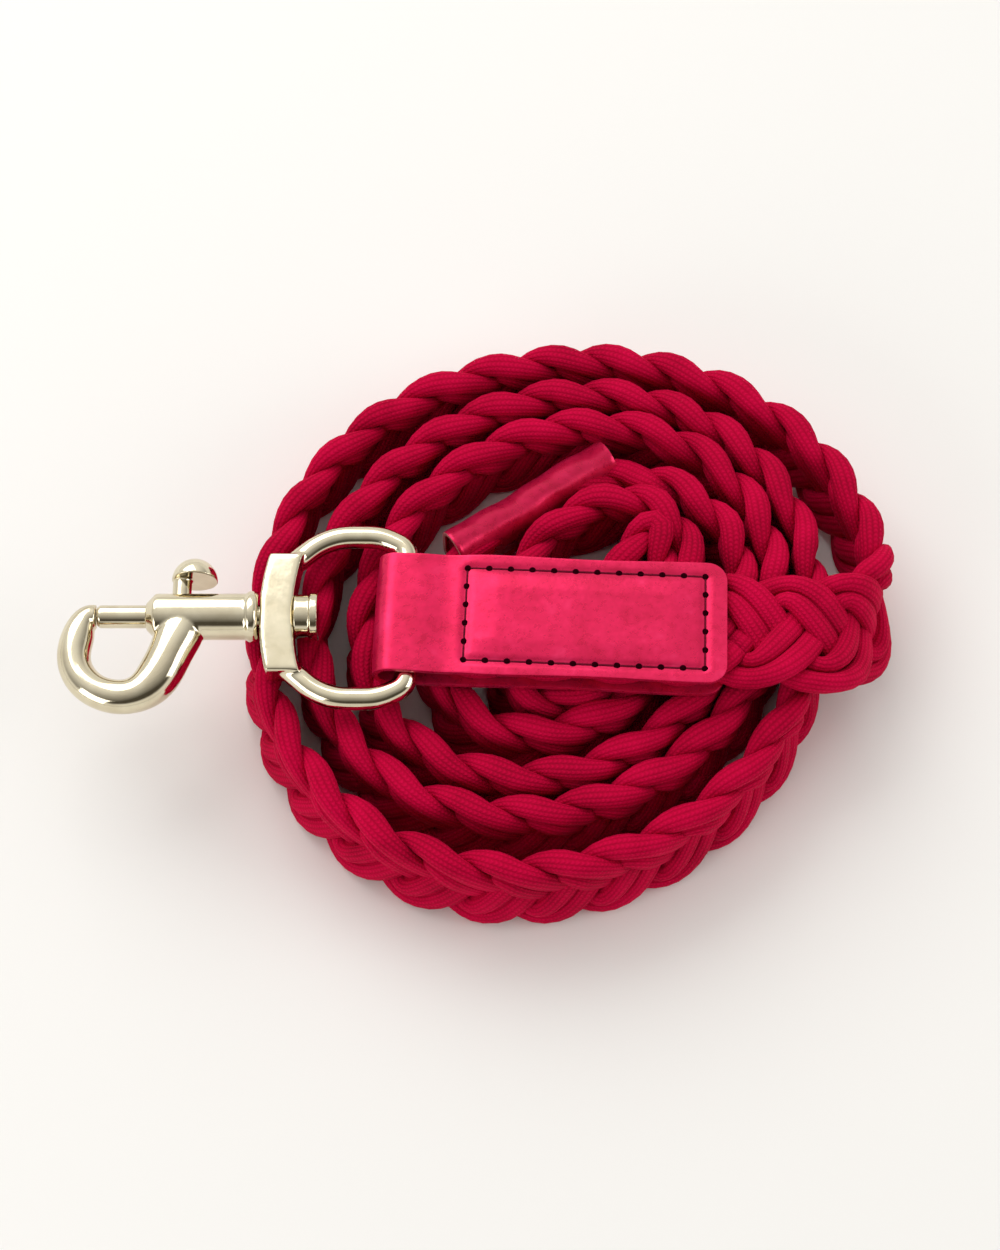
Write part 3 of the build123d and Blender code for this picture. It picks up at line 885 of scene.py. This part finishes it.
core_bottom = -sleeve_wall - sleeve_core_height
core_foot_half = 0.0002
core_foot_rise = 0.001
seam_top = core_bottom - sleeve_wall
outer = teardrop(
    half=sleeve_core_width / 2 + sleeve_wall,
    top=0.0,
    foot_half=sleeve_wall,
    foot=seam_top,
    tip=seam_top - seam_height,
)
inner = teardrop(
    half=sleeve_core_width / 2,
    top=-sleeve_wall,
    foot_half=core_foot_half,
    foot=core_bottom + core_foot_rise,
    tip=core_bottom,
)
print("section points", len(outer), len(inner))

# %% Extrude the section along the rope
bm = bmesh.new()
loops = []
for outline in (outer, inner):
    ring = [bm.verts.new(sleeve_place(across, up, 0)) for across, up in outline]
    loops += [bm.edges.new((ring[step], ring[(step + 1) % len(ring)])) for step in range(len(ring))]
bmesh.ops.bridge_loops(bm, edges=loops)
end_faces = bm.faces[:]
sleeve_steps = 40
for step in range(sleeve_steps):
    grown = bmesh.ops.extrude_face_region(bm, geom=end_faces)
    moved = [item for item in grown["geom"] if isinstance(item, bmesh.types.BMVert)]
    bmesh.ops.translate(bm, verts=moved, vec=sleeve_along * sleeve_length / sleeve_steps)
    end_faces = [item for item in grown["geom"] if isinstance(item, bmesh.types.BMFace)]
bmesh.ops.recalc_face_normals(bm, faces=bm.faces[:])
sleeve_origin = sleeve_place(0, 0, 0)
for vertex in bm.verts:
    along = (vertex.co - sleeve_origin).dot(sleeve_along)
    across = (vertex.co - sleeve_origin).dot(sleeve_across)
    dent = 0.00035 * math.sin(along * 160.0 + 0.7) + 0.0002 * math.sin(along * 410.0 + across * 300.0)
    vertex.co += sleeve_across * dent * 0.6 + Vector((0, 0, min(dent, 0.0003)))
raw_edges = 0
for face in bm.faces:
    if abs(face.normal.dot(sleeve_along)) > 0.8:
        face.material_index = 1
        raw_edges += 1
sleeve_mesh = mesh_from(bm, "leather sleeve")
print("sleeve faces", len(sleeve_mesh.polygons), "raw edge faces", raw_edges)

raw_hide, nodes, links, shader = new_material("raw cut leather edge")
fibres = noise_node(nodes, links, 1400.0, 5.0, 0.7)
links.new(
    ramp_node(
        nodes,
        links,
        fibres,
        (0.3, (0.45, 0.08, 0.10)),
        (0.55, (0.72, 0.30, 0.30)),
        (0.75, (0.88, 0.55, 0.52)),
    ),
    shader.inputs["Base Color"],
)
shader.inputs["Roughness"].default_value = 0.9
add_bump(nodes, links, shader, fibres, strength=0.6, distance=0.0003)

sleeve = new_object("folded_sleeve", sleeve_mesh, hide, raw_hide)
round_edges(sleeve, width=0.0003, segments=2)
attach(sleeve, "rope")
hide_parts("sleeve_leather")

# %% Stitches on the sleeve
pale, nodes, links, shader = new_material("pale rose thread")
thread_tone = noise_node(nodes, links, 2600.0)
links.new(
    ramp_node(nodes, links, thread_tone, (0.3, (0.45, 0.10, 0.15)), (0.7, (0.80, 0.36, 0.42))),
    shader.inputs["Base Color"],
)
shader.inputs["Roughness"].default_value = 0.6
sleeve_stitches = 13
seam_line = seam_top - seam_height / 2
bm = bmesh.new()
for stitch in range(sleeve_stitches):
    pitch = sleeve_length / sleeve_stitches
    for side in (-1, 1):
        across = side * sleeve_wall
        start = sleeve_place(across, seam_line, (stitch + 0.15) * pitch)
        end = sleeve_place(across, seam_line, (stitch + 0.85) * pitch)
        stitch_bar(bm, start, end, sleeve_across * side, radius=0.0004, dip=0.0003)
sleeve_thread = new_object("sleeve_thread", mesh_from(bm, "sleeve stitching"), pale)
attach(sleeve_thread, "rope")
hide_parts("sleeve_stitching")

# %% [markdown]
# ## The metal
# The swivel eye, the snap and its bolt are zinc castings with a polished pale gold plating. Their CAD shapes are
# right, but a casting has no knife edges: a fine voxel remesh and a few smoothing passes melt the corners and
# fillet the joins. The gold is a metal shader with faint ripples from polishing and small patches of dulling.

# %% Pale gold plating
gold, nodes, links, shader = new_material("pale gold plating")
ripples = noise_node(nodes, links, 130.0, 2.0)
scuffs = noise_node(nodes, links, 1100.0, 4.0, 0.65)
links.new(
    ramp_node(nodes, links, ripples, (0.35, (0.66, 0.585, 0.42)), (0.65, (0.75, 0.68, 0.505))),
    shader.inputs["Base Color"],
)
dullness = math_node(nodes, links, "MULTIPLY", scuffs, 0.14)
links.new(math_node(nodes, links, "ADD", dullness, 0.04), shader.inputs["Roughness"])
add_bump(nodes, links, shader, ripples, strength=0.25, distance=0.0002)
shader.inputs["Metallic"].default_value = 1.0

spring_steel, nodes, links, shader = new_material("drawn spring wire")
wire_tone = noise_node(nodes, links, 900.0)
links.new(
    ramp_node(nodes, links, wire_tone, (0.3, (0.42, 0.42, 0.44)), (0.7, (0.62, 0.62, 0.64))),
    shader.inputs["Base Color"],
)
shader.inputs["Metallic"].default_value = 1.0
shader.inputs["Roughness"].default_value = 0.3


# %% Finish the CAD metal
def finish_metal(node, voxel, passes):
    """Gives a CAD node its gold and melts its corners like a casting's."""
    piece = frame["nodes"][node]
    piece.data.materials.clear()
    piece.data.materials.append(gold)
    melt = piece.modifiers.new("cast surface", "REMESH")
    melt.mode = "VOXEL"
    melt.voxel_size = voxel
    melt.use_smooth_shade = True
    soften = piece.modifiers.new("melted corners", "SMOOTH")
    soften.factor = 0.5
    soften.iterations = passes


finish_metal("swivel_eye", voxel=0.0004, passes=26)
finish_metal("snap_body", voxel=0.0003, passes=16)
finish_metal("swivel_post", voxel=0.00025, passes=3)
finish_metal("thumb_knob", voxel=0.00025, passes=5)
finish_metal("bolt", voxel=0.00025, passes=3)

# %% [markdown]
# ### The spring
# The spring behind the bolt is one wire wound in a helix. A circle swept round an axis, with a small step along
# that axis each time, makes exactly that. Its turns are spaced evenly over the CAD spring's length.

# %% Wind the spring
spring_low, spring_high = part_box("bolt_spring")
spring_wire = 0.0005
spring_turns = 5
steps_per_turn = 20
spring_radius = (spring_high[2] - spring_low[2] - spring_wire) / 2
spring_middle = (Vector(spring_low) + Vector(spring_high)) / 2
spring_run = spring_high[0] - spring_low[0] - spring_wire
wire_start = Vector((spring_low[0] + spring_wire / 2, spring_middle.y, spring_middle.z + spring_radius))
bm = bmesh.new()
section = Matrix.Translation(wire_start) @ Matrix.Rotation(math.pi / 2, 4, "X")
bmesh.ops.create_circle(bm, segments=8, radius=spring_wire / 2, matrix=section)
bmesh.ops.spin(
    bm,
    geom=bm.verts[:] + bm.edges[:],
    cent=(wire_start.x, spring_middle.y, spring_middle.z),
    axis=(1, 0, 0),
    dvec=(spring_run / (spring_turns * steps_per_turn), 0, 0),
    angle=2 * math.pi * spring_turns,
    steps=spring_turns * steps_per_turn,
)
bmesh.ops.holes_fill(bm, edges=bm.edges[:], sides=0)
bmesh.ops.recalc_face_normals(bm, faces=bm.faces[:])
spring = new_object("wound_spring", mesh_from(bm, "wound_spring"), spring_steel)
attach(spring, "snap")
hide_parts("bolt_spring")
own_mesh(spring)
